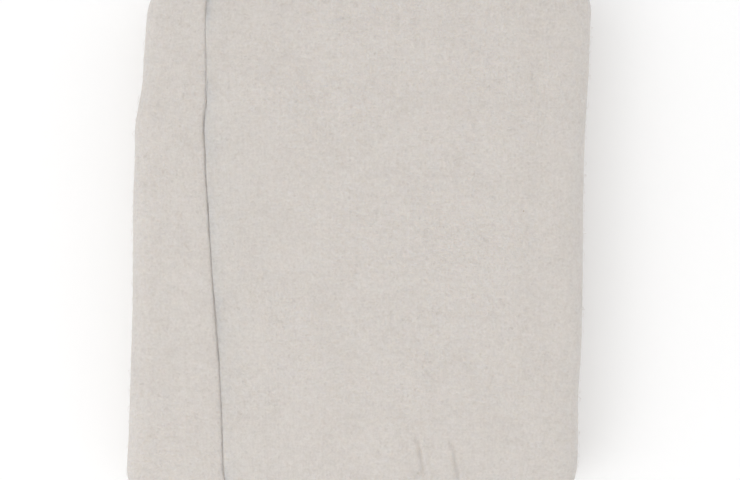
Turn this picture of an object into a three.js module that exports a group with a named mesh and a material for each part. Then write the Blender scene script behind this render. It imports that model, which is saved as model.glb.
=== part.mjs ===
// A sheet of cotton quilt batting as it is put up for sale: doubled, folded in three to a long band, and the
// band wound flat, turn over turn, to an even pack. Its outer end lies on the face, a little askew.
// Millimetres. X runs across the pack, Y along the winding axis, Z up, and the pack lies on its flat back.
import * as THREE from "three";

// The cloth. One layer is the doubled sheet, two plies pressed together.
const LAYER = 3.0;
const LAYER_GAP = 0.35;
const TURN_GAP = 0.85;
const BAND_LAYERS = 3;
const LAYER_PITCH = LAYER + LAYER_GAP;
const BAND = BAND_LAYERS * LAYER + (BAND_LAYERS - 1) * LAYER_GAP;
const PITCH = BAND + TURN_GAP;

// The pack.
const PACK_WIDTH = 305;
const PACK_LENGTH = 343;
const RINGS = 4;
const FACE_HEIGHT = 2 * RINGS * PITCH;
const HALF_WIDTH = PACK_WIDTH / 2;
const HALF_LENGTH = PACK_LENGTH / 2;

// Centre-line radius of the corners of each ring, the innermost ring first.
const CORNER_RADII = [7, 7.5, 8.5, 10];
const CORNER_STEPS = [2, 2, 2, 3];
const SIDE_STEPS = [1, 1, 2, 3];

// The outer end: where its cut edge crosses the face, how askew it is, and how far it is pressed.
const OUTER_END = -98.5;
const OUTER_END_SLANT = -0.08;
const END_PRESS = 0.6;
const END_PRESS_REACH = 50;
const TROUGH = 12;

// The inner end, and the stretch over which the turns above it sink to close the room it leaves.
const INNER_END = -90;
const SINK_REACH = 60;
const SINK = PITCH - 0.3;

// Soft, uneven form of the whole pack.
const CROWN_DROP = 0.045;
const END_DROP = 0.05;
const SIDE_BULGE = 0.016;
const PLAN_CORNER = 18.5;
const PLAN_INSET = 10;
const LEAN_LINEAR = 1.4;
const LEAN_CUBIC = 4.7;
const LEAN_SPAN = 163;
const DRAW_IN = 3.4;
const DRAW_IN_FROM = 70;
const DRAW_IN_SPAN = 40;
const CUT_BEVEL = 1.2;
const CUT_BEVEL_THINNING = 0.6;
const ROW_REACH = 138;
const FOLD_STEPS = 3;

// How far the folded edges of the band wander along the winding: one row for each wave.
const EDGE_WAVES = [
  { size: 1.5, length: 730, start: 0.6 },
  { size: 0.8, length: 310, start: 2.1 },
];

const clamp = (value) => Math.min(Math.max(value, 0), 1);
const smooth = (value) => clamp(value) ** 2 * (3 - 2 * clamp(value));

const outerEndAt = (y) => OUTER_END + OUTER_END_SLANT * y;
const sinkAt = (x) => SINK * smooth((x - INNER_END) / SINK_REACH);
const pressAt = (run) => END_PRESS + (1 - END_PRESS) * smooth(run / END_PRESS_REACH);

// Height of a level's inner face. The levels above the inner end sink to the right of it.
function levelBase(level, x) {
  return (level + RINGS) * PITCH - (level > 0 ? sinkAt(x) : 0);
}

// Half width of a ring's centre line, the innermost ring being 1.
const ringReach = (ring) => HALF_WIDTH - BAND / 2 - (RINGS - ring) * PITCH;

// A station is one cross-section of the band. place(y, offset) gives its point for a row at y and an
// offset from the band's centre line, outward from the middle of the roll. pressRun(x, y) is how far the
// station is from the end of the cloth, where the band is pressed.
function panelStation(level, columnAt, pressRun = () => END_PRESS_REACH, thinning = 1) {
  const outward = level < 0 ? -1 : 1;
  const place = (y, offset) => {
    const x = columnAt(y);
    const press = pressAt(pressRun(x, y));
    return [x, levelBase(level, x) + press * (BAND / 2 + outward * offset)];
  };
  return { place, thinning };
}

function cornerStation(centreX, centreZ, radius, angle) {
  const place = (y, offset) => [
    centreX + (radius + offset) * Math.cos(angle),
    centreZ + (radius + offset) * Math.sin(angle),
  ];
  return { place, thinning: 1 };
}

// One turn at a side of the pack: a corner, a steep side and a corner. side is 1 at the right, where the
// band rises from level -ring to level ring, and -1 at the left, where it comes down from ring - 1.
function turnStations(side, ring) {
  const edge = side * ringReach(ring);
  const low = levelBase(-ring, edge) + BAND / 2;
  const high = levelBase(side > 0 ? ring : ring - 1, edge) + BAND / 2;
  const radius = Math.min(CORNER_RADII[ring - 1], (high - low) / 2);
  const centreX = edge - side * radius;
  const steps = CORNER_STEPS[ring - 1];
  const centres = side > 0 ? [low + radius, high - radius] : [high - radius, low + radius];
  const firstAngle = side > 0 ? -Math.PI / 2 : Math.PI / 2;
  const stations = [];
  for (let step = 0; step <= steps; step += 1) {
    stations.push(cornerStation(centreX, centres[0], radius, firstAngle + (step * Math.PI) / 2 / steps));
  }
  const sideSteps = Math.abs(centres[1] - centres[0]) > 1 ? SIDE_STEPS[ring - 1] : 0;
  const middleAngle = firstAngle + Math.PI / 2;
  for (let step = 1; step < sideSteps; step += 1) {
    const height = centres[0] + ((centres[1] - centres[0]) * step) / sideSteps;
    stations.push(cornerStation(centreX, height, radius, middleAngle));
  }
  for (let step = sideSteps > 0 ? 0 : 1; step <= steps; step += 1) {
    stations.push(cornerStation(centreX, centres[1], radius, middleAngle + (step * Math.PI) / 2 / steps));
  }
  return stations;
}

// Columns that a panel crosses from left to right. Those by the outer end follow its slant.
const LOWER_COLUMNS = [() => -75, () => 5, () => 85];
const UPPER_COLUMNS = [
  (y) => outerEndAt(y) - TROUGH,
  (y) => outerEndAt(y) - TROUGH / 2,
  (y) => outerEndAt(y),
  (y) => outerEndAt(y) + 20,
  (y) => outerEndAt(y) + 42,
  () => -20,
  () => 40,
  () => 100,
];

// An upper panel runs from right to left and keeps clear of the corner that it turns into.
function upperPanel(ring) {
  const limit = CORNER_RADII[ring] - ringReach(ring + 1) + 0.5;
  const columns = UPPER_COLUMNS.map((column, index) => (y) => Math.max(column(y), limit + index));
  return columns.toReversed().map((column) => panelStation(ring, column));
}

// The last panel lies on the columns of the turn beneath it and stops at the outer end.
function lastPanel() {
  const fromEnd = (x, y) => x - outerEndAt(y);
  const columns = [...UPPER_COLUMNS.slice(3).toReversed(), (y) => outerEndAt(y) + CUT_BEVEL];
  const stations = columns.map((column) => panelStation(RINGS, column, fromEnd));
  stations.push(panelStation(RINGS, outerEndAt, fromEnd, CUT_BEVEL_THINNING));
  return stations;
}

function windingStations() {
  const fromEnd = (x) => INNER_END - x;
  const stations = [
    panelStation(0, () => INNER_END, fromEnd, CUT_BEVEL_THINNING),
    panelStation(0, () => INNER_END - CUT_BEVEL, fromEnd),
  ];
  for (let ring = 1; ring <= RINGS; ring += 1) {
    stations.push(...turnStations(-1, ring));
    stations.push(...LOWER_COLUMNS.map((column) => panelStation(-ring, column)));
    stations.push(...turnStations(1, ring));
    stations.push(...(ring < RINGS ? upperPanel(ring) : lastPanel()));
  }
  return stations;
}

// The band's own section is three layers, back and forth. Its outline is two chains that run side by
// side through the folds, from the cut edge of the outer layer to that of the inner one: face is 1 for the
// chain on the left of the cloth and -1 for the other. A point has its y, the centre and the reach of its
// offset, and at, its place along the chain. The reach alone is thinned where the cloth ends.
function bandChain(face) {
  const half = LAYER / 2;
  const foldRadius = LAYER_PITCH / 2;
  const foldAt = HALF_LENGTH - foldRadius - half;
  const rows = [-foldAt, -ROW_REACH, 0, ROW_REACH, foldAt];
  const chain = [{ y: -foldAt - half, centre: LAYER_PITCH, reach: (face * half) / 2, at: -1 }];
  for (let layer = 0; layer < BAND_LAYERS; layer += 1) {
    const heading = layer % 2 === 0 ? 1 : -1;
    const centre = (1 - layer) * LAYER_PITCH;
    const reach = face * heading * half;
    const first = layer * (rows.length + 1);
    rows.forEach((row, index) => chain.push({ y: heading * row, centre, reach, at: first + index }));
    const steps = layer === BAND_LAYERS - 1 ? 0 : face === heading ? FOLD_STEPS : 1;
    for (let step = 1; step <= steps; step += 1) {
      const angle = (Math.PI * step) / (steps + 1);
      chain.push({
        y: heading * (foldAt + (foldRadius + reach) * Math.sin(angle)),
        centre: centre - foldRadius * (1 - Math.cos(angle)),
        reach: reach * Math.cos(angle),
        at: first + rows.length - 1 + (2 * step) / (steps + 1),
      });
    }
  }
  chain.push({ y: foldAt + half, centre: -LAYER_PITCH, reach: (face * half) / 2, at: Infinity });
  return chain;
}

// Triangles that close the outline: a ladder between the two chains, which share no point.
function ladder(left, right) {
  const rungs = [];
  let i = 0;
  let j = 0;
  while (i < left.length - 1 || j < right.length - 1) {
    const climbLeft = j === right.length - 1 || (i < left.length - 1 && left[i + 1].at <= right[j + 1].at);
    const size = left.length + right.length;
    if (climbLeft) rungs.push([i + 1, i, size - 1 - j]);
    else rungs.push([size - 1 - j, size - 2 - j, i]);
    if (climbLeft) i += 1;
    else j += 1;
  }
  return rungs;
}

// The pack is pressed to one height: the stack under the outer end gives way, and a trough runs beside it.
function pressFlat(x, y, z) {
  const run = x - outerEndAt(y);
  const added = PITCH * pressAt(run) * smooth((run + TROUGH) / TROUGH);
  const share = FACE_HEIGHT / (FACE_HEIGHT - sinkAt(x) + added);
  const depth = clamp(z / FACE_HEIGHT);
  return z * (1 - (1 - share) * depth ** 3);
}

// Soft form of the whole: crowned face, bulging sides, rounded corners in plan, a slight lean, and the left
// side drawn in towards its far end.
function settle(x, y, z) {
  const pressed = pressFlat(x, y, z);
  const across = clamp(Math.abs(x) / HALF_WIDTH);
  const along = clamp(Math.abs(y) / HALF_LENGTH);
  const height = pressed * (1 - CROWN_DROP * across ** 6 - END_DROP * along ** 6);
  const rise = clamp(pressed / FACE_HEIGHT);
  const bulge = 1 + SIDE_BULGE * (4 * rise * (1 - rise) - 1) * across ** 2;
  const cornerRun = clamp((Math.abs(y) - HALF_LENGTH + PLAN_CORNER) / PLAN_CORNER);
  const inset = PLAN_INSET * (1 - Math.sqrt(1 - (0.95 * cornerRun) ** 2));
  const drawIn = x < 0 ? DRAW_IN * across * smooth((y - DRAW_IN_FROM) / DRAW_IN_SPAN) : 0;
  const lean = y / LEAN_SPAN;
  const drift = LEAN_LINEAR * lean + LEAN_CUBIC * lean ** 3;
  return [x * bulge * (1 - inset / HALF_WIDTH) + drift + drawIn, height];
}

// The cloth wanders by different amounts at its two folded edges, and not at all between them.
function edgeShiftAt(run, y) {
  if (Math.abs(y) <= ROW_REACH) return 0;
  let shift = 0;
  for (const wave of EDGE_WAVES) {
    shift += wave.size * Math.sin((2 * Math.PI * run) / wave.length + wave.start * (2 + Math.sign(y)));
  }
  return shift;
}

function makeBatting() {
  const stations = windingStations();
  const left = bandChain(1);
  const right = bandChain(-1);
  const outline = [...left, ...right.toReversed()];
  const ringSize = outline.length;
  const positions = [];
  const centres = stations.map((station) => station.place(0, 0));
  let run = 0;
  stations.forEach((station, index) => {
    const before = centres[Math.max(index - 1, 0)];
    run += Math.hypot(centres[index][0] - before[0], centres[index][1] - before[1]);
    for (const { y, centre, reach } of outline) {
      const [x, z] = station.place(y, centre + reach * station.thinning);
      const [settledX, settledZ] = settle(x, y, z);
      positions.push(settledX, y + edgeShiftAt(run, y), settledZ);
    }
  });
  // Facing layers split their faces along the same diagonal, so that they stay apart where they warp.
  const faces = [];
  for (let index = 0; index < stations.length - 1; index += 1) {
    const across = centres[index + 1][0] - centres[index][0];
    const up = centres[index + 1][1] - centres[index][1];
    const forward = Math.abs(across) > Math.abs(up) ? across : up;
    for (let point = 0; point < ringSize; point += 1) {
      const a = index * ringSize + point;
      const b = index * ringSize + ((point + 1) % ringSize);
      const c = b + ringSize;
      const d = a + ringSize;
      if (forward * (positions[3 * b + 1] - positions[3 * a + 1]) > 0) faces.push(a, b, c, a, c, d);
      else faces.push(a, b, d, b, c, d);
    }
  }
  const lastRing = (stations.length - 1) * ringSize;
  for (const [a, b, c] of ladder(left, right)) {
    faces.push(a, b, c);
    faces.push(lastRing + a, lastRing + c, lastRing + b);
  }
  const geometry = new THREE.BufferGeometry();
  geometry.setAttribute("position", new THREE.Float32BufferAttribute(positions, 3));
  geometry.setIndex(faces);
  geometry.computeVertexNormals();
  geometry.computeBoundingBox();
  const middle = geometry.boundingBox.getCenter(new THREE.Vector3());
  return geometry.translate(-middle.x, -middle.y, 0);
}

const cotton = new THREE.MeshStandardMaterial({ color: 0xe9e4dc, roughness: 0.96, metalness: 0 });
const batting = new THREE.Mesh(makeBatting(), cotton);
batting.name = "batting";

const group = new THREE.Group();
group.add(batting);
export default group;
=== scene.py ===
import math
from collections import namedtuple
import bpy
import numpy as np
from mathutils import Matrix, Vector, noise


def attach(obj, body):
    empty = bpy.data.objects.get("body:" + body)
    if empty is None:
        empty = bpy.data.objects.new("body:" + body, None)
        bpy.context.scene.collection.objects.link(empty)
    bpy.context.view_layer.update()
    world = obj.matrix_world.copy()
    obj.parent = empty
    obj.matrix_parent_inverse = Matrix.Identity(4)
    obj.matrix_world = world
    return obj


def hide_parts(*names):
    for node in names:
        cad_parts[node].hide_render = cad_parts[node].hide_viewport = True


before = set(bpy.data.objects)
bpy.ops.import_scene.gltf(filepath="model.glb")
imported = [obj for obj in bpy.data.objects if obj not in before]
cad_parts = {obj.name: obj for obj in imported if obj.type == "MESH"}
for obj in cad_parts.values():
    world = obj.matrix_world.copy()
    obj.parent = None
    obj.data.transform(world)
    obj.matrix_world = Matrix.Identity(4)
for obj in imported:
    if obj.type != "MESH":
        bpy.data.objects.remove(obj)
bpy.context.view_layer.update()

# The batting: one sheet of natural cotton, needled to a fine scrim. It is folded in half and then in three,
# so that a band of six plies lies over itself, and the band is wound flat from the inside out. Nothing holds
# it but its own folds, and its outer cut end lies on the face. Sizes are in millimetres until the mesh.
PLY = 1.45
PLY_PITCH = 1.65
PLIES = 6
BAND = (PLIES - 1) * PLY_PITCH + PLY
TURN_GAP = 0.85
PITCH = BAND + TURN_GAP
TURNS = 4
PACK_WIDTH = 305
PACK_LENGTH = 343
HALF_WIDTH = PACK_WIDTH / 2
HALF_LENGTH = PACK_LENGTH / 2
FACE_HEIGHT = 2 * TURNS * PITCH


def smooth(value):
    """A soft step from 0 to 1."""
    value = np.clip(value, 0.0, 1.0)
    return value * value * (3 - 2 * value)


# The band begins at its inner end, in the middle of the pack, in layer 0. The layers above sink down a slope
# into the room past that end, and all but fill it.
INNER_END = -90
SINK_SLOPE = 60
ROOM_LEFT = 0.3
SINK = PITCH - ROOM_LEFT


def sink_at(x):
    return SINK * smooth((x - INNER_END) / SINK_SLOPE)


def layer_bottom(layer, x):
    return (layer + TURNS) * PITCH - (sink_at(x) if layer > 0 else 0.0)


def bend_reach(turn):
    return HALF_WIDTH - BAND / 2 - (TURNS - turn) * PITCH


# The outer end runs slightly askew across the face. Towards it the cloth is pressed thinner, and nipped flat
# at the cut, most of all at the pack's far end.
OUTER_END = -98.5
OUTER_END_SLANT = -0.08
END_PRESS = 0.6
END_PRESS_REACH = 50
CUT_PRESS = 0.155
CUT_PRESS_FAR = 0.085
CUT_PRESS_REACH = 14
FAR_FROM = 70
FAR_FADE = 50


def outer_end_at(y):
    return OUTER_END + OUTER_END_SLANT * y


def press_at(run, y):
    cut = CUT_PRESS - (CUT_PRESS - CUT_PRESS_FAR) * smooth((y - FAR_FROM) / FAR_FADE)
    nipped = cut + (END_PRESS - cut) * smooth(run / CUT_PRESS_REACH)
    return nipped + (1 - END_PRESS) * smooth(run / END_PRESS_REACH)


# The outer end lies closer to the turn under it than the turns lie to each other. Its hidden plies are
# pressed a little thinner than the bare one and lie further back.
END_GAP = 0.2
END_GAP_REACH = 12
END_TUCK = 0.1
END_TUCK_REACH = 14
END_RETREAT = 0.6
END_RETREAT_REACH = 8
LIP_THINNING = 0.12
LIP_REACH = 2.6


def end_gap_at(run):
    return TURN_GAP - (TURN_GAP - END_GAP) * smooth(1 - run / END_GAP_REACH)


# How the cut ends wander along the sheet's width: size, length and start of each wave, the long one first.
# Only the bare ply shows the short ones.
CUT_WAVES = [(0.55, 230, 0.4), (0.22, 96, 2.2), (0.1, 23, 1.1)]
OUTER_WANDER_REACH = 22
INNER_WANDER_REACH = 16
INNER_WANDER_START = 90


def cut_wander(v, tucked):
    long_wave, *short_waves = [size * np.sin(2 * math.pi * v / length + start)
                               for size, length, start in CUT_WAVES]
    return long_wave + sum(short_waves) * (1 - tucked)


# A station is one cross-section of the band. Its place gives the plies' points, from y, the offset from the
# band's middle, v along the sheet's width, and tucked, which is 1 for hidden plies. A kept station carries
# the hidden plies too, thin is the share of its thickness that a ply has, and middle is the band's middle.
Station = namedtuple("Station", "place kept thin middle")
INNER_PRESS = 0.82
INNER_PRESS_REACH = 24
# The layers below the outer end run askew as it does, but not at the side bend, and no more from here on.
ASKEW_RISE = 26
ASKEW_UNTIL = -75
ASKEW_FADE = 45
# A place across that is left of all the pack, where there is no bend and no cloth.
PAST_LEFT = -1000


def flat_station(layer, across, bend_start=PAST_LEFT, end=None, kept=True, thin=1.0):
    outward = -1 if layer < 0 else 1

    def place(y, offset, v, tucked):
        askew = 0.0
        if layer > 0:
            askew = smooth((across - bend_start) / ASKEW_RISE)
            askew = askew * (1 - smooth((across - ASKEW_UNTIL) / ASKEW_FADE))
        x = across + OUTER_END_SLANT * y * askew
        press, drop = 1.0, 0.0
        if end == "outer":
            from_cut = across - OUTER_END
            x = x + cut_wander(v, tucked) * smooth(1 - from_cut / OUTER_WANDER_REACH)
            x = x + END_RETREAT * tucked * smooth(1 - from_cut / END_RETREAT_REACH)
            run = x - outer_end_at(y)
            press = press_at(run, y) * (1 - LIP_THINNING * smooth(1 - run / LIP_REACH))
            press = press * (1 - END_TUCK * tucked * smooth(1 - run / END_TUCK_REACH))
            drop = TURN_GAP - end_gap_at(run)
        if end == "inner":
            from_cut = INNER_END - across
            x = x + cut_wander(v + INNER_WANDER_START, tucked) * smooth(1 - from_cut / INNER_WANDER_REACH)
            run = INNER_END - x
            press = INNER_PRESS + (1 - INNER_PRESS) * smooth(run / INNER_PRESS_REACH)
            press = press * (1 - LIP_THINNING * smooth(1 - run / LIP_REACH))
        return x, layer_bottom(layer, x) - drop + press * (BAND / 2 + outward * offset)

    return Station(place, kept, thin, (across, float(layer_bottom(layer, across) + BAND / 2)))


# A side bend is two quarter bends with a straight between them. Radii, steps and paces go from the inner turn
# to the outer. There the bare ply has the finest stations, of which the plies under it keep only some.
BEND_RADII = [7, 7.5, 8.5, 10]
BEND_STEPS = [3, 3, 4, 6]
SIDE_PACES = [9, 9, 9, 3.1]
BEND_KEPT = 2
SIDE_KEPT = 3


def bend_station(centre_x, centre_z, radius, angle, kept):
    across, up = math.cos(angle), math.sin(angle)

    def place(y, offset, v, tucked):
        return centre_x + (radius + offset) * across, centre_z + (radius + offset) * up

    return Station(place, kept, 1.0, (centre_x + radius * across, centre_z + radius * up))


def side_bend(side, turn):
    edge = side * bend_reach(turn)
    low = layer_bottom(-turn, edge) + BAND / 2
    high = layer_bottom(turn if side > 0 else turn - 1, edge) + BAND / 2
    radius = min(BEND_RADII[turn - 1], (high - low) / 2)
    centre_x = edge - side * radius
    first, last = (low + radius, high - radius) if side > 0 else (high - radius, low + radius)
    turned = -math.pi / 2 if side > 0 else math.pi / 2
    outermost = turned + math.pi / 2
    steps = BEND_STEPS[turn - 1]
    bend_kept, side_kept = (BEND_KEPT, SIDE_KEPT) if turn == TURNS else (1, 1)
    straight = 0
    if abs(last - first) > 1:
        straight = max(int(round(abs(last - first) / SIDE_PACES[turn - 1] / SIDE_KEPT)) * SIDE_KEPT, 1)
    bent = [bend_station(centre_x, first, radius, turned + step * math.pi / 2 / steps, step % bend_kept == 0)
            for step in range(steps + 1)]
    bent += [bend_station(centre_x, first + (last - first) * step / straight, radius, outermost,
                          step % side_kept == 0)
             for step in range(1, straight)]
    bent += [bend_station(centre_x, last, radius, outermost + step * math.pi / 2 / steps,
                          step % bend_kept == 0)
             for step in range(0 if straight else 1, steps + 1)]
    return bent


# Stations across the flat layers. They lie closest on the bare cloth, at the sharp creases and at the foot of
# the outer end, and none near that end is left out of the hidden plies.
BARE_PACE = 2.5
KEPT_PACE = 7.5
BACK_PACE = 6.6
HIDDEN_PACE = 8.0
FLAT_MARGIN = 9.0
LAYER_START = 137.5
FACE_START = 135
FACE_STOP = 6.0
BARE_FROM = -82.5
NEAR_END = (-112.6, -72)
CREASED = (38, 80)
LIP_STEPS = [5.0, 3.4, 2.1, 1.1, 0.4, 0.0]
FOOT_STEPS = [0.6, 0.1, -0.4, -0.9, -1.6, -2.5, -3.8]
INNER_WAYS = [-99.0, -104.5]
CUT_THINNING = 0.75


def carries_all(way):
    return abs(way / KEPT_PACE - round(way / KEPT_PACE)) < 0.01


def upper_layer(turn, bare_below=PAST_LEFT):
    bend_start = BEND_RADII[turn] - bend_reach(turn + 1)
    right = bend_reach(turn) - BEND_RADII[turn - 1]
    ways = list(np.arange(LAYER_START, bend_start + 1, -BARE_PACE))
    if turn >= TURNS - 2:
        ways = [way for way in ways if not FOOT_STEPS[-1] - 1 < way - OUTER_END < FOOT_STEPS[0]]
        ways = sorted(ways + [OUTER_END + step for step in FOOT_STEPS], reverse=True)
    laid = []
    for way in ways:
        kept = (turn > 1 and NEAR_END[0] < way < NEAR_END[1]) or carries_all(way)
        if way < right - 1 and (kept or way < bare_below):
            laid.append(flat_station(turn, float(way), bend_start, kept=kept))
    return laid


# The winding, from the inner end out. Fine rows start on the last turn but one, just under the outer end, and
# the cloth is bare from where that end stops.
stations = [flat_station(0, INNER_END - step, end="inner", thin=CUT_THINNING if step == 0 else 1.0)
            for step in reversed(LIP_STEPS)]
stations += [flat_station(0, way, end="inner") for way in INNER_WAYS]
for turn in range(1, TURNS + 1):
    stations += side_bend(-1, turn)
    reach = bend_reach(turn) - min(BEND_RADII[turn - 1], FLAT_MARGIN)
    pace = BACK_PACE if turn == TURNS else HIDDEN_PACE
    count = int(2 * reach / pace / 2) * 2
    stations += [flat_station(-turn, -reach + 2 * reach * step / count, kept=turn < TURNS or step % 2 == 0)
                 for step in range(1, count)]
    stations += side_bend(1, turn)
    if turn == TURNS - 1:
        laid = upper_layer(turn, BARE_FROM)
        ways = [station.middle[0] for station in laid]
        fine_start = len(stations) + ways.index(BARE_FROM)
        bare_start = len(stations) + sum(way > OUTER_END - 1 for way in ways)
        stations += laid
    elif turn < TURNS:
        stations += upper_layer(turn)
ways = list(np.arange(FACE_START, OUTER_END + FACE_STOP, -BARE_PACE))
ways += [way - BARE_PACE / 2 for way in ways if CREASED[0] < way < CREASED[1]]
stations += [flat_station(TURNS, float(way), end="outer", kept=way < NEAR_END[1] or carries_all(way))
             for way in sorted(ways, reverse=True)]
stations += [flat_station(TURNS, OUTER_END + step, end="outer", thin=CUT_THINNING if step == 0 else 1.0)
             for step in LIP_STEPS]

# The sheet's path across the band: six runs, each with its ply counted from the outside in, and after each
# run but the last a fold. A fold has the two plies that it joins and how far its middle lies from the pack's
# end, as the two cut edges do. A cut edge is rounded by lines that stand out by so much, at so much thickness.
RUN_PLIES = [0, 3, 4, 5, 2, 1]
FOLDS = [(0, 3, 3.2), (3, 4, 3.2), (4, 5, 2.6), (5, 2, 3.2), (2, 1, 3.2)]
CUT_EDGES = [2.4, 4.3]
CUT_ROUNDING = [(0.7, 0.85), (1.1, 0.5)]
WIDE_FOLD = 1
ROWS = [34, 100, 150, 160, 165]
BARE_ROW = 2.6
ROW_APART = 1.2

Line = namedtuple("Line", "y centre reach v edge fine_row bare_run")


def ply_offset(ply):
    return ((PLIES - 1) / 2 - ply) * PLY_PITCH


def sheet_lines(side):
    """Lines of one side of the sheet across the band. reach is from the ply's middle, and edge its fold's."""
    lines = []
    v = CUT_ROUNDING[-1][0]
    for index, ply in enumerate(RUN_PLIES):
        heading = 1 if index % 2 == 0 else -1
        centre = ply_offset(ply)
        reach = side * heading * PLY / 2
        bare = index == 0 and side == 1
        start = HALF_LENGTH - (CUT_EDGES[0] if index == 0 else FOLDS[index - 1][2])
        stop = HALF_LENGTH - (CUT_EDGES[1] if index == len(FOLDS) else FOLDS[index][2])
        if index == 0:
            for out, share in reversed(CUT_ROUNDING):
                lines.append(Line(-start - out, centre, reach * share, v - out, 0, False, bare))
        rows = [(row, False) for row in (-start, *(-row for row in reversed(ROWS)), *ROWS, stop)]
        if bare:
            rows += [(row, True) for row in np.arange(-start + BARE_ROW, stop - 1, BARE_ROW)
                     if min(abs(row - coarse) for coarse, _ in rows) > ROW_APART]
            rows.sort()
        for row, fine in rows:
            edge = index if row < 0 else index + 1
            lines.append(Line(heading * row, centre, reach, v + row + start, edge, fine, bare))
        v += start + stop
        if index == len(FOLDS):
            for out, share in CUT_ROUNDING:
                lines.append(Line(heading * (stop + out), centre, reach * share, v + out, index + 1,
                                  False, False))
        else:
            first, second = (ply_offset(joined) for joined in FOLDS[index][:2])
            radius, middle = abs(first - second) / 2, (first + second) / 2
            up = 1 if centre > middle else -1
            out = reach * up
            steps = (4 if radius > WIDE_FOLD else 2) + (2 if out > 0 else 0)
            for step in range(1, steps):
                angle = math.pi * step / steps
                lines.append(Line(heading * (stop + (radius + out) * math.sin(angle)),
                                  middle + up * radius * math.cos(angle), up * out * math.cos(angle),
                                  v + radius * angle, index + 1, False, bare))
            v += math.pi * radius
    return lines


# How far the edges stand out at the ends of the pack, which wanders along the winding: size, length, start.
# Each edge has the start of its own wander, its share of it, and how far it may lie back from the one round it.
EDGE_WAVES = [(1.6, 730, 0.6), (1.0, 310, 2.1), (0.45, 118, 0.3), (0.28, 47, 1.7), (0.14, 21, 0.9)]
EDGES = [(5.1, 1.0, 0.0), (0.0, 1.0, 0.0), (2.6, 1.0, 1.1), (4.4, 0.9, 0.3),
         (2.6, 1.0, 0.0), (0.0, 1.0, 0.9), (3.3, 1.2, 0.5)]
EDGE_FROM = 160
EDGE_REACH = 8.3
LIE_BACK_LENGTH = 143
LIE_BACK_START = 2.0


def edge_shift(run, y, edge):
    start, share, back = (np.array(EDGES)[edge, part] for part in range(3))
    wander = sum(size * np.sin(2 * math.pi * run / length + first + start)
                 for size, length, first in EDGE_WAVES)
    lie_back = back * (1 + np.sin(2 * math.pi * run / LIE_BACK_LENGTH + LIE_BACK_START * edge))
    return np.sign(y) * (share * wander - lie_back) * np.clip((abs(y) - EDGE_FROM) / EDGE_REACH, 0, 1)


# The pack's soft form: pressed to one height, with a trough beside the outer end, a crowned face, bulging
# sides, rounded corners in plan, a slight lean, and the left side drawn in towards the far end.
TROUGH = 10
TROUGH_SLOPE = 0.4
TROUGH_PLUNGE = 6
CROWN_DROP = 0.045
END_DROP = 0.05
SIDE_BULGE = 0.016
PLAN_CORNER = 21
PLAN_INSET = 6.2
PLAN_ROUND = 2.2
LEAN_LINEAR = 1.4
LEAN_CUBIC = [3.1, 4.7]
LEAN_SPAN = 163
DRAW_IN = 4.4
DRAW_IN_FROM = 70
DRAW_IN_SPAN = 40

# Where the two long sides stand out or lie in, one by one: side, y of its middle, half length along y, and
# size.
SIDE_SWAYS = [(1, 112, 30, 1.3), (1, -104, 26, -1.6), (-1, 54, 22, -0.9)]

# Creases pressed into the face and the sides: x and y where each is deepest, half width across it, half length
# along it, the way it runs in degrees from the y axis, and its depth. A depth below zero is the ridge beside a
# crease. Narrow ones are sharp, and their bottoms get a little painted shade in the colour.
CREASES = [
    (45.5, -144, 1.4, 12, 13, 1.05),
    (48.0, -143.5, 1.9, 13, 13, -1.1),
    (44.5, -157, 1.7, 7, -28, 0.9),
    (47.3, -158, 1.9, 6, -28, -0.8),
    (70, -152, 1.4, 17, 14, 1.05),
    (72.5, -151.5, 1.9, 16, 14, -1.1),
    (-60, 168, 5.0, 30, 8, 1.1),
    (96, 166, 4.0, 26, -5, 0.8),
    (-124, -60, 3.5, 60, 3, 0.5),
    (118, 40, 4.5, 70, -2, 0.45),
]
SHARP_CREASE = 2


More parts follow.
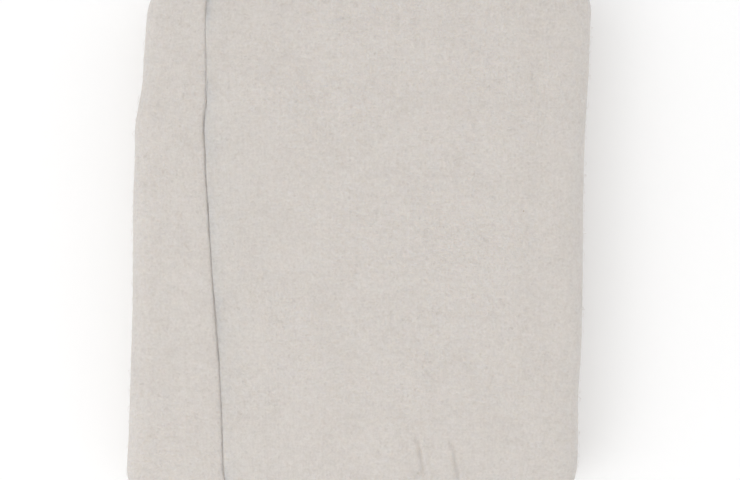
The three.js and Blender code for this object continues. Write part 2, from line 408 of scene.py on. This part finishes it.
def settle(x, y, z):
    """Where a point of the even winding comes to lie, and how far it is in a sharp crease."""
    # The layers give way under the outer end and sink past the inner one, the upper ones most.
    run = x - outer_end_at(y)
    depth = np.clip(z / FACE_HEIGHT, 0, 1)
    near = np.clip((run + TROUGH) / TROUGH, 0, 1)
    fall = TROUGH_SLOPE * near ** 2 + (1 - TROUGH_SLOPE) * near ** (2 + TROUGH_PLUNGE * depth ** 3)
    added = (BAND * press_at(run, y) + end_gap_at(run)) * fall
    share = FACE_HEIGHT / (FACE_HEIGHT - sink_at(x) + added)
    pressed = z * (1 - (1 - share) * depth ** 3)

    across = np.clip(abs(x) / HALF_WIDTH, 0, 1)
    along = np.clip(abs(y) / HALF_LENGTH, 0, 1)
    height = pressed * (1 - CROWN_DROP * across ** 6 - END_DROP * along ** 6)
    rise = np.clip(pressed / FACE_HEIGHT, 0, 1)
    bulge = 1 + SIDE_BULGE * (4 * rise * (1 - rise) - 1) * across ** 2
    corner_run = np.clip((abs(y) - HALF_LENGTH + PLAN_CORNER) / PLAN_CORNER, 0, 1.1)
    inset = PLAN_INSET * corner_run ** PLAN_ROUND
    moved = np.where(x < 0, DRAW_IN * across * smooth((y - DRAW_IN_FROM) / DRAW_IN_SPAN), 0)
    for side, sway_y, length, size in SIDE_SWAYS:
        sway = size * np.exp(-((y - sway_y) / length) ** 2) * across ** 3
        moved = moved + np.where(side * x > 0, side * sway, 0)
    lean = y / LEAN_SPAN
    drift = LEAN_LINEAR * lean + np.where(lean < 0, LEAN_CUBIC[0], LEAN_CUBIC[1]) * lean ** 3

    creased = 0 * height
    for crease_x, crease_y, width, length, degrees, deep in CREASES:
        way = math.radians(degrees)
        off = (x - crease_x) * math.cos(way) + (y - crease_y) * math.sin(way)
        down = (y - crease_y) * math.cos(way) - (x - crease_x) * math.sin(way)
        dent = deep * np.exp(-(off / width) ** 2 - (down / length) ** 2) * rise ** 5
        height = height - dent
        # How deep a point lies in a sharp crease is kept, so that the material can paint shade into the colour
        # there.
        if width < SHARP_CREASE:
            creased = creased + np.clip(dent, 0, 1)
    return x * bulge * (1 - inset / HALF_WIDTH) + drift + moved, height, creased


# The points, station by station. worn marks the folds at the pack's ends and the cut end, where fibres shed.
WORN_EDGE = 3.3
WORN_STATIONS = 2
upper_side, under_side = sheet_lines(1), sheet_lines(-1)
lines = upper_side + under_side[::-1]
line_y, line_centre, line_reach, line_v = (np.array([line[part] for line in lines], float) for part in range(4))
line_edge = np.array([line.edge for line in lines])
fine_row = np.array([line.fine_row for line in lines])
bare_run = np.array([line.bare_run for line in lines])

points, cloth_place, bare, worn, shaded = [], [], [], [], []
index_of = np.full((len(lines), len(stations)), -1)
run = 0.0
before = stations[0].middle
for number, station in enumerate(stations):
    run += math.dist(station.middle, before)
    before = station.middle
    there = np.full(len(lines), station.kept) & ~fine_row
    if number >= fine_start:
        there |= bare_run
    chosen = np.nonzero(there)[0]
    y, v = line_y[chosen], line_v[chosen]
    offset = line_centre[chosen] + line_reach[chosen] * station.thin
    x, z = station.place(y, offset, v, (~bare_run[chosen]).astype(float))
    y = y + edge_shift(run, y, line_edge[chosen])
    x, z, creased = settle(x + 0 * y, y, z + 0 * y)
    index_of[chosen, number] = len(points) + np.arange(len(chosen))
    points.extend(zip(x, y, z))
    shaded.extend(creased)
    cloth_place.extend((run, value) for value in v)
    bare.extend((bare_run[chosen] & (number >= bare_start)).astype(float))
    worn.extend((abs(line_y[chosen]) > HALF_LENGTH - WORN_EDGE) | (number >= len(stations) - WORN_STATIONS))

faces = []


def fan(near, far):
    """Triangles between two rows of points that share their ends' sides, the far one longer than two."""
    split = len(far) // 2
    for step in range(len(far) - 1):
        faces.append((near[0] if step < split else near[-1], far[step], far[step + 1]))
    faces.append((near[0], far[split], near[-1]))


def strip(first, second, begin=0):
    """Faces between two lines along the winding, of which one may have more stations than the other."""
    a, b = index_of[first, begin:], index_of[second, begin:]
    shared = np.nonzero((a >= 0) & (b >= 0))[0]
    for start, stop in zip(shared[:-1], shared[1:]):
        side_a = [i for i in a[start:stop + 1] if i >= 0]
        side_b = [i for i in b[start:stop + 1] if i >= 0]
        if len(side_a) == len(side_b):
            for step in range(len(side_a) - 1):
                faces.append((side_a[step], side_b[step], side_b[step + 1], side_a[step + 1]))
        elif len(side_a) > len(side_b):
            fan(side_b[::-1], side_a[::-1])
        else:
            fan(side_a, side_b)


# Fine rows begin at one station of the hidden stretch under the outer end. Before it the strips are wide, and
# a fan joins the last wide one to them.
coarse_lines = np.nonzero(~fine_row)[0]
for number, line in enumerate(coarse_lines):
    following = coarse_lines[(number + 1) % len(coarse_lines)]
    between = list(range(line + 1, following))
    if not between:
        strip(line, following)
        continue
    wide = [i for i in range(fine_start + 1) if index_of[line, i] >= 0][:-1]
    for start, stop in zip(wide[:-1], wide[1:]):
        faces.append((index_of[line, start], index_of[following, start],
                      index_of[following, stop], index_of[line, stop]))
    fan([index_of[following, wide[-1]], index_of[line, wide[-1]]],
        [index_of[i, fine_start] for i in [following, *between[::-1], line]])
    chain = [line, *between, following]
    for first, second in zip(chain[:-1], chain[1:]):
        strip(first, second, fine_start)


def close_end(number, flip):
    """A ladder of triangles between the sheet's two sides, which closes a cut end."""
    left = [(line_v[i], index_of[i, number]) for i in range(len(upper_side)) if index_of[i, number] >= 0]
    right = [(line_v[i], index_of[i, number]) for i in range(len(lines) - 1, len(upper_side) - 1, -1)
             if index_of[i, number] >= 0]
    i = j = 0
    while i < len(left) - 1 or j < len(right) - 1:
        if j == len(right) - 1 or (i < len(left) - 1 and left[i + 1][0] <= right[j + 1][0]):
            rung = (left[i + 1][1], left[i][1], right[j][1])
            i += 1
        else:
            rung = (right[j][1], right[j + 1][1], left[i][1])
            j += 1
        faces.append(rung[::-1] if flip else rung)


close_end(0, False)
close_end(len(stations) - 1, True)

# Lofty cloth is never even: soft swells run through the whole pack, and the bare ply has shallow dimples.
# Both fade out where the pack lies flat on its back. Each has a length and a size.
SWELLS = [(95, 0.9), (38, 0.28)]
SWELL_SHARES = [1.0, 0.6, 1.0]
SWELL_SEED = 11
DIMPLES = [(17, 0.20), (7.5, 0.09)]
DIMPLE_START = Vector((7, 3, 5))
FLAT_BELOW = 14
place_at = np.array(points)
free = smooth(place_at[:, 2] / FLAT_BELOW)
noise.seed_set(SWELL_SEED)
for length, size in SWELLS:
    push = np.array([noise.noise_vector(Vector(p) / length) for p in place_at])
    place_at += size * push * (free[:, None] * np.array(SWELL_SHARES))

batting_mesh = bpy.data.meshes.new("folded_batting")
batting_mesh.from_pydata(place_at / 1000, [], [tuple(map(int, face)) for face in faces])
bare = np.array(bare)
normals = np.empty(len(place_at) * 3)
batting_mesh.vertex_normals.foreach_get("vector", normals)
normals = normals.reshape(-1, 3)
for length, size in DIMPLES:
    raised = np.array([noise.noise(Vector(p) / length + DIMPLE_START) for p in place_at])
    place_at += normals * (size * raised * bare * free)[:, None]
batting_mesh.vertices.foreach_set("co", (place_at / 1000).ravel())
batting_mesh.polygons.foreach_set("use_smooth", [True] * len(batting_mesh.polygons))

# What the materials and the fibres read: the place on the flat sheet, in metres, how much the cloth sheds, and
# how deep it lies in a sharp crease, where the material paints shade into the colour.
FACE_SHEDDING = 0.2
cloth_uv = batting_mesh.uv_layers.new(name="cloth")
corner_points = np.empty(len(batting_mesh.loops), int)
batting_mesh.loops.foreach_get("vertex_index", corner_points)
cloth_uv.data.foreach_set("uv", (np.array(cloth_place)[corner_points] / 1000).ravel())
shedding = batting_mesh.attributes.new("shedding", "FLOAT", "POINT")
shedding.data.foreach_set("value", np.maximum(FACE_SHEDDING * bare, np.array(worn)) * free)
in_crease = batting_mesh.attributes.new("in_crease", "FLOAT", "POINT")
in_crease.data.foreach_set("value", np.array(shaded))
batting_mesh.update()
batting = bpy.data.objects.new("folded_batting", batting_mesh)
bpy.context.scene.collection.objects.link(batting)

# Its finish: matt natural cotton that light soaks into. A noise has its repeats to a metre, detail, roughness
# and tangle. Rows and pits have their spacing in metres.
COTTON_LIGHT = (0.755, 0.712, 0.672)
COTTON_DARK = (0.655, 0.609, 0.568)
COTTON_TONES = (0.40, 0.78)
SEED_TAN = (0.42, 0.30, 0.19)
PAINTED_CREASE_SHADE_COLOUR = (0.42, 0.37, 0.32)
PEBBLES = (620, 2.5, 0.62, 0)
TUFTS = (250, 2, 0.55, 0)
CLOUDS = (38, 2, 0.5, 0)
STRANDS = (1500, 4, 0.6, 2.4)
NEEDLE_ROWS = 0.0027
SCRIM_ROWS = 0.0031
ROWS_STRAY = 16
ROWS_RISE = 0.034
PIT_SPACING = 0.0046
PIT_SCATTER = 0.6
PIT_RIM = (0.08, 0.30)
PIT_DEPTHS = (-0.02, 0.18)
PEBBLE_SHARE = 0.76
TUFT_SHARE = 0.5
STRAND_SHARE = 0.55
CLOUD_TONE = 0.22
GRAIN_TONE = 0.8
BUMP_DEPTH = 0.0009

cotton = bpy.data.materials.new("cotton_batting")
cotton.use_nodes = True
cotton_nodes, cotton_links = cotton.node_tree.nodes, cotton.node_tree.links
shader = cotton_nodes["Principled BSDF"]
shader.inputs["Roughness"].default_value = 0.95
shader.inputs["Specular IOR Level"].default_value = 0.15
shader.inputs["Sheen Weight"].default_value = 0.2
shader.inputs["Sheen Roughness"].default_value = 0.6
shader.inputs["Subsurface Weight"].default_value = 0.35
shader.inputs["Subsurface Radius"].default_value = (1.0, 0.8, 0.6)
shader.inputs["Subsurface Scale"].default_value = 0.0016
where = cotton_nodes.new("ShaderNodeTexCoord")


def grain(scale, detail, roughness, tangle):
    node = cotton_nodes.new("ShaderNodeTexNoise")
    node.inputs["Scale"].default_value = scale
    node.inputs["Detail"].default_value = detail
    node.inputs["Roughness"].default_value = roughness
    node.inputs["Distortion"].default_value = tangle
    cotton_links.new(where.outputs["Object"], node.inputs["Vector"])
    return node.outputs["Fac"]


def sums(operation, *values):
    node = cotton_nodes.new("ShaderNodeMath")
    node.operation = operation
    for socket, value in zip(node.inputs, values):
        if hasattr(value, "is_linked"):
            cotton_links.new(value, socket)
        else:
            socket.default_value = value
    return node.outputs[0]


def tinted(amount, colour, tint):
    node = cotton_nodes.new("ShaderNodeMix")
    node.data_type = "RGBA"
    cotton_links.new(amount, node.inputs["Factor"])
    cotton_links.new(colour, node.inputs[6])
    node.inputs[7].default_value = (*tint, 1)
    return node.outputs[2]


# Fine pebbled grain, with the needles' rows and the scrim's threads faintly across it both ways.
pebbles, tufts, clouds = grain(*PEBBLES), grain(*TUFTS), grain(*CLOUDS)
cloth_way = cotton_nodes.new("ShaderNodeUVMap")
cloth_way.uv_map = "cloth"
cloth_ways = cotton_nodes.new("ShaderNodeSeparateXYZ")
cotton_links.new(cloth_way.outputs[0], cloth_ways.inputs[0])
strayed = sums("MULTIPLY", sums("ADD", tufts, clouds), ROWS_STRAY)
needled, threaded = (sums("SINE", sums("MULTIPLY_ADD", along, 2 * math.pi / spacing, strayed))
                     for along, spacing in zip(cloth_ways.outputs, (NEEDLE_ROWS, SCRIM_ROWS)))
rows = sums("MULTIPLY", sums("ADD", needled, threaded), ROWS_RISE)

# Needle pits, scattered off a square grid and of uneven depth.
pit_way = cotton_nodes.new("ShaderNodeVectorMath")
pit_way.operation = "MULTIPLY"
pit_way.inputs[1].default_value = (1 / PIT_SPACING, 1 / PIT_SPACING, 0)
cotton_links.new(cloth_way.outputs[0], pit_way.inputs[0])
pit_cells = cotton_nodes.new("ShaderNodeTexVoronoi")
pit_cells.voronoi_dimensions = "2D"
pit_cells.inputs["Scale"].default_value = 1
pit_cells.inputs["Randomness"].default_value = PIT_SCATTER
cotton_links.new(pit_way.outputs[0], pit_cells.inputs["Vector"])
pit_pick = cotton_nodes.new("ShaderNodeSeparateColor")
cotton_links.new(pit_cells.outputs["Color"], pit_pick.inputs[0])
pit_edge = cotton_nodes.new("ShaderNodeMapRange")
pit_edge.interpolation_type = "SMOOTHSTEP"
for name, value in zip(("From Min", "From Max", "To Min", "To Max"), (*PIT_RIM, 1, 0)):
    pit_edge.inputs[name].default_value = value
cotton_links.new(pit_cells.outputs["Distance"], pit_edge.inputs["Value"])
pit_depth = sums("MULTIPLY_ADD", pit_pick.outputs[0], PIT_DEPTHS[1] - PIT_DEPTHS[0], PIT_DEPTHS[0])
pits = sums("MULTIPLY", pit_edge.outputs[0], pit_depth)

lie = sums("MULTIPLY_ADD", pebbles, PEBBLE_SHARE, sums("MULTIPLY", tufts, TUFT_SHARE))
lie = sums("ADD", lie, sums("SUBTRACT", rows, pits))
nap = sums("MULTIPLY_ADD", grain(*STRANDS), STRAND_SHARE, lie)
tone = sums("MULTIPLY_ADD", clouds, CLOUD_TONE, sums("MULTIPLY", lie, GRAIN_TONE))
ramp = cotton_nodes.new("ShaderNodeValToRGB")
for stop, position, colour in zip(ramp.color_ramp.elements, COTTON_TONES, (COTTON_DARK, COTTON_LIGHT)):
    stop.position, stop.color = position, (*colour, 1)
cotton_links.new(tone, ramp.inputs[0])

# Bits of seed coat: one cell in many holds a small tan fleck.
FLECK_CELLS = 90
FLECK_RARITY = 0.93
FLECK_SIZES = (0.012, 0.057)
FLECK_STRENGTH = 0.7
cells = cotton_nodes.new("ShaderNodeTexVoronoi")
cells.inputs["Scale"].default_value = FLECK_CELLS
cotton_links.new(where.outputs["Object"], cells.inputs["Vector"])
pick = cotton_nodes.new("ShaderNodeSeparateColor")
cotton_links.new(cells.outputs["Color"], pick.inputs[0])
rare = sums("GREATER_THAN", pick.outputs[0], FLECK_RARITY)
fleck_size = sums("MULTIPLY_ADD", pick.outputs[1], FLECK_SIZES[1] - FLECK_SIZES[0], FLECK_SIZES[0])
small = sums("LESS_THAN", cells.outputs["Distance"], fleck_size)
fleck = sums("MULTIPLY", sums("MULTIPLY", rare, small), FLECK_STRENGTH)
flecked = tinted(fleck, ramp.outputs[0], SEED_TAN)

# Painted shade: the bottoms of the sharp creases get their colour mixed a little towards a dark brown.
PAINTED_CREASE_SHADE = 0.26
crease_here = cotton_nodes.new("ShaderNodeAttribute")
crease_here.attribute_name = "in_crease"
shade = sums("MULTIPLY", crease_here.outputs["Fac"], PAINTED_CREASE_SHADE)
cotton_links.new(tinted(shade, flecked, PAINTED_CREASE_SHADE_COLOUR), shader.inputs["Base Color"])

bump = cotton_nodes.new("ShaderNodeBump")
bump.inputs["Strength"].default_value = 0.8
bump.inputs["Distance"].default_value = BUMP_DEPTH
cotton_links.new(nap, bump.inputs["Height"])
cotton_links.new(bump.outputs[0], shader.inputs["Normal"])
batting_mesh.materials.append(cotton)
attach(batting, "root")
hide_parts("batting")

# Loose fibres: fine cotton hairs that stand off the cloth where it has been cut, folded and handled. They are
# part of the same sheet, curl over its surface, and are thickest at the folded ends and the cut edge. Each
# shape has the hair's length, its lift off the cloth and its curl. From here on sizes are in metres.
HAIR_RADIUS = 0.00007
HAIR_SIDES = 3
HAIR_POINTS = 4
HAIR_ROOT = -0.0002
HAIR_SHAPES = [(0.0042, 0.0011, 0.0009), (0.0030, 0.0016, -0.0008), (0.0055, 0.0007, -0.0016)]
HAIR_DENSITY = 38000.0
HAIR_SEED = 7
HAIR_TILT = (0.25, 0.35)
HAIR_SIZES = (0.55, 1.35)

hair_tree = bpy.data.node_groups.new("loose_fibres", "GeometryNodeTree")
for name, kind, way in (("Cloth", "NodeSocketGeometry", "INPUT"), ("Density", "NodeSocketFloat", "INPUT"),
                        ("Thickness", "NodeSocketFloat", "INPUT"), ("Seed", "NodeSocketInt", "INPUT"),
                        ("Fibres", "NodeSocketGeometry", "OUTPUT")):
    hair_tree.interface.new_socket(name=name, in_out=way, socket_type=kind)
hair_nodes, hair_links = hair_tree.nodes, hair_tree.links
given = hair_nodes.new("NodeGroupInput")
made = hair_nodes.new("NodeGroupOutput")

# Where the hairs grow: strewn by how much the cloth sheds.
strewn = hair_nodes.new("GeometryNodeDistributePointsOnFaces")
sheds = hair_nodes.new("GeometryNodeInputNamedAttribute")
sheds.data_type = "FLOAT"
sheds.inputs["Name"].default_value = "shedding"
thinned = hair_nodes.new("ShaderNodeMath")
thinned.operation = "MULTIPLY"
hair_links.new(given.outputs["Cloth"], strewn.inputs["Mesh"])
hair_links.new(given.outputs["Density"], thinned.inputs[0])
hair_links.new(sheds.outputs["Attribute"], thinned.inputs[1])
hair_links.new(thinned.outputs[0], strewn.inputs["Density"])
hair_links.new(given.outputs["Seed"], strewn.inputs["Seed"])

# The kinds of hair: a curled strand swept with a thin section.
section = hair_nodes.new("GeometryNodeCurvePrimitiveCircle")
section.inputs["Resolution"].default_value = HAIR_SIDES
hair_links.new(given.outputs["Thickness"], section.inputs["Radius"])
kinds = hair_nodes.new("GeometryNodeJoinGeometry")
for length, lift, curl in HAIR_SHAPES:
    strand = hair_nodes.new("GeometryNodeCurvePrimitiveBezierSegment")
    strand.inputs["Resolution"].default_value = HAIR_POINTS
    strand.inputs["Start"].default_value = (-length / 2, 0, HAIR_ROOT)
    strand.inputs["Start Handle"].default_value = (-length / 4, curl, lift * 1.2)
    strand.inputs["End Handle"].default_value = (length / 4, -curl, lift * 1.5)
    strand.inputs["End"].default_value = (length / 2, curl / 2, lift * 0.4)
    spun = hair_nodes.new("GeometryNodeCurveToMesh")
    single = hair_nodes.new("GeometryNodeGeometryToInstance")
    hair_links.new(strand.outputs["Curve"], spun.inputs["Curve"])
    hair_links.new(section.outputs["Curve"], spun.inputs["Profile Curve"])
    hair_links.new(spun.outputs["Mesh"], single.inputs["Geometry"])
    hair_links.new(single.outputs["Instances"], kinds.inputs["Geometry"])

# How each one lies: tilted a little, spun any way about the cloth's normal, and of uneven size.
spin = hair_nodes.new("FunctionNodeRandomValue")
spin.data_type = "FLOAT_VECTOR"
spin.inputs[0].default_value = (-HAIR_TILT[0], -HAIR_TILT[1], 0)
spin.inputs[1].default_value = (*HAIR_TILT, 2 * math.pi)
spin_turn = hair_nodes.new("FunctionNodeEulerToRotation")
laid_way = hair_nodes.new("FunctionNodeRotateRotation")
laid_way.rotation_space = "LOCAL"
hair_links.new(spin.outputs[0], spin_turn.inputs[0])
hair_links.new(strewn.outputs["Rotation"], laid_way.inputs[0])
hair_links.new(spin_turn.outputs[0], laid_way.inputs[1])
hair_sizes = hair_nodes.new("FunctionNodeRandomValue")
hair_sizes.data_type = "FLOAT"
hair_sizes.inputs[2].default_value, hair_sizes.inputs[3].default_value = HAIR_SIZES
grown = hair_nodes.new("GeometryNodeInstanceOnPoints")
grown.inputs["Pick Instance"].default_value = True
hair_links.new(strewn.outputs["Points"], grown.inputs["Points"])
hair_links.new(kinds.outputs["Geometry"], grown.inputs["Instance"])
hair_links.new(laid_way.outputs[0], grown.inputs["Rotation"])
hair_links.new(hair_sizes.outputs[1], grown.inputs["Scale"])
real = hair_nodes.new("GeometryNodeRealizeInstances")
finish_hair = hair_nodes.new("GeometryNodeSetMaterial")
finish_hair.inputs["Material"].default_value = cotton
hair_links.new(grown.outputs["Instances"], real.inputs["Geometry"])
hair_links.new(real.outputs["Geometry"], finish_hair.inputs["Geometry"])
hair_links.new(finish_hair.outputs["Geometry"], made.inputs["Fibres"])

# The hairs grow on a copy of the cloth, which then goes.
bed = bpy.data.objects.new("fibre_bed", batting_mesh.copy())
bpy.context.scene.collection.objects.link(bed)
grower = bed.modifiers.new("fibres", "NODES")
grower.node_group = hair_tree
hair_inputs = {"Density": HAIR_DENSITY, "Thickness": HAIR_RADIUS, "Seed": HAIR_SEED}
for socket in hair_tree.interface.items_tree:
    if socket.in_out == "INPUT" and socket.name in hair_inputs:
        grower[socket.identifier] = hair_inputs[socket.name]
grown_mesh = bpy.data.meshes.new_from_object(bed.evaluated_get(bpy.context.evaluated_depsgraph_get()))
bpy.data.objects.remove(bed)
fibres = bpy.data.objects.new("loose_fibres", grown_mesh)
bpy.context.scene.collection.objects.link(fibres)
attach(fibres, "root")

# The table that the pack lies on: a plain white surface.
bpy.ops.mesh.primitive_plane_add(size=6)
floor = bpy.context.object
floor.name = "floor"
floor_white = bpy.data.materials.new("floor_white")
floor_white.use_nodes = True
floor_shader = floor_white.node_tree.nodes["Principled BSDF"]
floor_shader.inputs["Base Color"].default_value = (0.95, 0.95, 0.95, 1)
floor_shader.inputs["Emission Color"].default_value = (1, 1, 1, 1)
floor_shader.inputs["Emission Strength"].default_value = 0.06
floor_shader.inputs["Roughness"].default_value = 0.9
floor.data.materials.append(floor_white)

# Soft studio light: an even white room, and one weak softbox from the near left.
ROOM_LIGHT = 0.88
SOFTBOX_AIM = Vector((0, 0, 0.05))
world = bpy.data.worlds.new("studio")
bpy.context.scene.world = world
world.use_nodes = True
world.node_tree.nodes["Background"].inputs["Color"].default_value = (1, 1, 1, 1)
world.node_tree.nodes["Background"].inputs["Strength"].default_value = ROOM_LIGHT
softbox = bpy.data.objects.new("softbox", bpy.data.lights.new("softbox", "AREA"))
softbox.data.size = 1.4
softbox.data.energy = 10
softbox.location = (-0.9, -0.8, 2.0)
softbox.rotation_euler = (-Vector(softbox.location) + SOFTBOX_AIM).to_track_quat("-Z", "Y").to_euler()
bpy.context.scene.collection.objects.link(softbox)
bpy.context.scene.view_settings.view_transform = "Standard"

# The camera looks straight down on the face from far off. It takes in this width at the face's height.
LENS = 135
SENSOR_WIDTH = 36
VIEW_WIDTH = 0.4935
VIEW_HEIGHT = 0.0838
VIEW_CENTRE = 0.0081
camera = bpy.data.objects.new("camera", bpy.data.cameras.new("camera"))
camera.data.lens = LENS
camera.data.sensor_width = SENSOR_WIDTH
camera.location = (VIEW_CENTRE, 0, VIEW_HEIGHT + VIEW_WIDTH * LENS / SENSOR_WIDTH)
bpy.context.scene.collection.objects.link(camera)
bpy.context.scene.camera = camera
